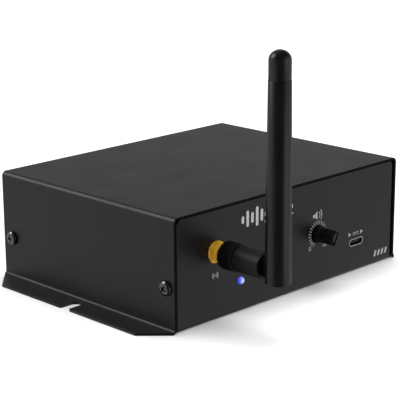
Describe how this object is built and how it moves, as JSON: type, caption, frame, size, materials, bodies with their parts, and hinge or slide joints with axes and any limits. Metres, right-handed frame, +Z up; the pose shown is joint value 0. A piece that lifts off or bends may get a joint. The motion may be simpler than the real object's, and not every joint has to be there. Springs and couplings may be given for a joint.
{
  "type": "bluetooth audio receiver",
  "caption": "Small black steel box with slotted mounting feet, a swivelling and tilting stub aerial, a splined volume control, a status light, a power inlet and rear audio outputs.",
  "frame": {"origin": "middle of the case's underside, on the surface that the feet stand on", "axes": "+Z up, front panel towards -Y, +X to the right as the front is faced"},
  "size_m": [0.15, 0.1388, 0.1054],
  "materials": {
    "cover_paint": "satin",
    "tray_paint": "satin",
    "black_steel": "polished",
    "connector_shell": "satin",
    "zinc_steel": "satin",
    "gilt_brass": "polished",
    "white_plastic": "satin",
    "aerial_plastic": "satin",
    "circuit_board": "gloss",
    "tin_plate": "satin",
    "blue_lens": "gloss",
    "lead_jacket": "satin",
    "capacitor_sleeve": "gloss",
    "component_black": "matte",
    "black_plastic": "satin"
  },
  "bodies": {
    "case": {"top_cover": "cover_paint", "chassis_tray": "tray_paint", "cover_screw_1": "black_steel", "cover_screw_2": "black_steel", "cover_screw_3": "black_steel", "cover_screw_4": "black_steel", "main_board": "circuit_board", "standoff_1": "zinc_steel", "standoff_2": "zinc_steel", "standoff_3": "zinc_steel", "standoff_4": "zinc_steel", "board_screw_1": "zinc_steel", "board_screw_2": "zinc_steel", "board_screw_3": "zinc_steel", "board_screw_4": "zinc_steel", "converter_chip": "component_black", "driver_chip": "component_black", "regulator_coil": "component_black", "capacitor_1": "capacitor_sleeve", "capacitor_2": "capacitor_sleeve", "capacitor_3": "capacitor_sleeve", "radio_board": "circuit_board", "radio_shield": "tin_plate", "sma_jack": "gilt_brass", "sma_insulator": "white_plastic", "sma_lock_washer": "gilt_brass", "sma_panel_nut": "gilt_brass", "aerial_lead": "lead_jacket", "aerial_lead_plug": "gilt_brass", "antenna_coupling_nut": "aerial_plastic", "status_led": "blue_lens", "led_holder": "black_plastic", "pairing_switch": "component_black", "volume_body": "black_plastic", "usb_c_shell": "tin_plate", "usb_c_tongue": "black_plastic", "xlr_shell_left": "connector_shell", "xlr_insert_left": "black_plastic", "xlr_shell_right": "connector_shell", "xlr_insert_right": "black_plastic", "xlr_pin_left_1": "tin_plate", "xlr_pin_left_2": "tin_plate", "xlr_pin_left_3": "tin_plate", "xlr_pin_right_1": "tin_plate", "xlr_pin_right_2": "tin_plate", "xlr_pin_right_3": "tin_plate", "xlr_screw_left_1": "black_steel", "xlr_screw_left_2": "black_steel", "xlr_screw_right_1": "black_steel", "xlr_screw_right_2": "black_steel"},
    "antenna_arm": {"antenna_arm": "aerial_plastic", "antenna_plug_core": "gilt_brass"},
    "antenna_whip": {"antenna_sleeve": "aerial_plastic", "antenna_tip_cap": "aerial_plastic", "antenna_radiator": "gilt_brass", "antenna_hinge_pin": "zinc_steel"},
    "volume_shaft": {"volume_shaft": "black_plastic"},
    "pairing_button": {"pairing_button": "black_plastic"}
  },
  "joints": [
    {"name": "antenna_swivel", "type": "hinge", "parent": "case", "child": "antenna_arm", "pos_m": [-0.0426, -0.062, 0.0268], "axis": [0, -1, 0], "range_deg": [-180, 180]},
    {"name": "antenna_tilt", "type": "hinge", "parent": "antenna_arm", "child": "antenna_whip", "pos_m": [-0.0426, -0.0803, 0.0268], "axis": [1, 0, 0], "range_deg": [0, 90]},
    {"name": "volume_turn", "type": "hinge", "parent": "case", "child": "volume_shaft", "pos_m": [0.0151, -0.052, 0.0211], "axis": [0, 1, 0], "range_deg": [-182, 118]},
    {"name": "pairing_press", "type": "slide", "parent": "case", "child": "pairing_button", "axis": [0, 1, 0], "range_m": [0, 0.0005], "stiffness_N_per_m": 2000}
  ]
}
